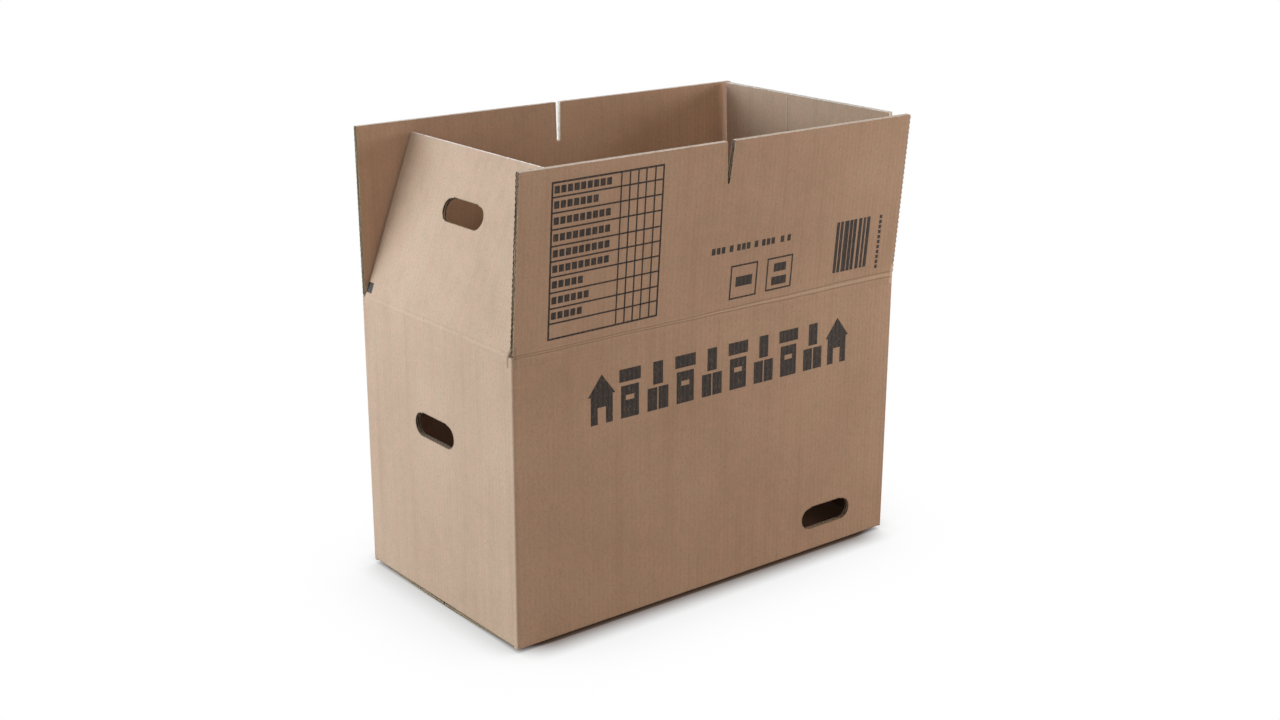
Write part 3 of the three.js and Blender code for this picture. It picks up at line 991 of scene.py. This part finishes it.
def seen_by_camera(tree):
    """1 for what the camera sees, straight or by a shiny or clear thing, and 0 for light that bounces."""
    rays = add_node(tree, "ShaderNodeLightPath").outputs
    shiny = math_node(tree, "MAXIMUM", rays["Is Glossy Ray"], rays["Is Transmission Ray"])
    return math_node(tree, "MAXIMUM", rays["Is Camera Ray"], shiny)


def hidden_share(tree, reach):
    """The share of the sky that the object hides from a place, within a reach."""
    pairs = [("Distance", reach)]
    sky = add_node(tree, "ShaderNodeAmbientOcclusion", pairs, samples=HIDDEN_SAMPLES).outputs["AO"]
    return math_node(tree, "SUBTRACT", 1.0, sky, clamp=True)


def make_floor():
    """White paper. The camera sees it white, less hidden^curve for a wide soft shadow, and brown by
    dark * hidden close to the object, where hidden is the share of the sky that the object hides within each
    shadow's reach. The close shadow is weaker at both ends of the box, where the corners stand clear of the
    floor."""
    material, tree, shader = new_material("white_floor")
    shader.inputs["Base Color"].default_value = (FLOOR_BOUNCE, FLOOR_BOUNCE, FLOOR_BOUNCE, 1)
    set_finish(shader, FLOOR_FINISH)
    wide = math_node(tree, "POWER", hidden_share(tree, SHADOW_REACH), SHADOW_CURVE)
    white = math_node(tree, "SUBTRACT", 1.0, wide, clamp=True)
    place = add_node(tree, "ShaderNodeTexCoord").outputs["Object"]
    along = math_node(tree, "ABSOLUTE", add_node(tree, "ShaderNodeSeparateXYZ", [(0, place)]).outputs[0])
    pairs = [("Value", along), ("From Min", FADE_FROM), ("From Max", FADE_TO)]
    pairs += [("To Min", CONTACT_DARK), ("To Max", CONTACT_DARK * CONTACT_AT_ENDS)]
    dark = add_node(tree, "ShaderNodeMapRange", pairs, interpolation_type="SMOOTHSTEP").outputs[0]
    close = math_node(tree, "MULTIPLY", dark, hidden_share(tree, CONTACT_REACH), clamp=True)
    tone = mix_colour(tree, close, WHITE, CONTACT_BROWN)
    glow = add_node(tree, "ShaderNodeEmission", [("Color", tone), ("Strength", white)])
    pairs = [(0, seen_by_camera(tree)), (1, shader.outputs[0]), (2, glow.outputs[0])]
    choose = add_node(tree, "ShaderNodeMixShader", pairs)
    output = next(node for node in tree.nodes if node.type == "OUTPUT_MATERIAL")
    tree.links.new(choose.outputs[0], output.inputs["Surface"])
    corners = np.array([(-1, -1, 0), (1, -1, 0), (1, 1, 0), (-1, 1, 0)], float) * FLOOR_HALF
    add_piece("floor", corners, [[0, 1, 2, 3]], material)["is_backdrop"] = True


def make_world():
    world = bpy.data.worlds.new("white_studio")
    world.use_nodes = True
    tree = world.node_tree
    tree.nodes.clear()
    fill = add_node(tree, "ShaderNodeBackground", [("Color", FILL_COLOUR), ("Strength", WORLD_FILL)])
    white = add_node(tree, "ShaderNodeBackground", [("Color", WHITE), ("Strength", 1.0)])
    pairs = [(0, seen_by_camera(tree)), (1, fill.outputs[0]), (2, white.outputs[0])]
    choose = add_node(tree, "ShaderNodeMixShader", pairs)
    add_node(tree, "ShaderNodeOutputWorld", [(0, choose.outputs[0])])
    bpy.context.scene.world = world


def area_light(name, place, size, power, colour):
    light = bpy.data.lights.new(name, "AREA")
    light.energy = power
    light.size = size
    light.color = colour
    lamp = bpy.data.objects.new(name, light)
    lamp.location = place
    lamp.rotation_euler = (Vector(LIGHT_TARGET) - Vector(place)).to_track_quat("-Z", "Y").to_euler()
    bpy.context.scene.collection.objects.link(lamp)


make_floor()
make_world()
for light in LIGHTS:
    area_light(*light)

# The camera that fits the photograph's corners: place, turn to the right, tilt down and roll
FOCAL_PIXELS = 1737.5
PICTURE_WIDTH = 1280
SENSOR_WIDTH = 36.0
CAMERA_PLACE = (-1.45824, -1.84450, 1.03346 + BOTTOM_SAG)
CAMERA_TURN = 38.41
CAMERA_TILT = 17.70
CAMERA_ROLL = 0.16

turn, tilt, roll = (math.radians(a) for a in (CAMERA_TURN, CAMERA_TILT, CAMERA_ROLL))
forward = Vector((math.sin(turn) * math.cos(tilt), math.cos(turn) * math.cos(tilt), -math.sin(tilt)))
level_right = Vector((math.cos(turn), -math.sin(turn), 0.0))
level_up = level_right.cross(forward)
right = level_right * math.cos(roll) + level_up * math.sin(roll)
up = right.cross(forward)
lens = bpy.data.cameras.new("camera")
lens.sensor_width = SENSOR_WIDTH
lens.lens = FOCAL_PIXELS * SENSOR_WIDTH / PICTURE_WIDTH
lens.clip_start = 0.05
lens.clip_end = 100.0
camera = bpy.data.objects.new("camera", lens)
camera.matrix_world = Matrix.Translation(CAMERA_PLACE) @ Matrix((right, up, -forward)).transposed().to_4x4()
bpy.context.scene.collection.objects.link(camera)
bpy.context.scene.camera = camera
bpy.context.scene.view_settings.view_transform = "Standard"

low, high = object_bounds()
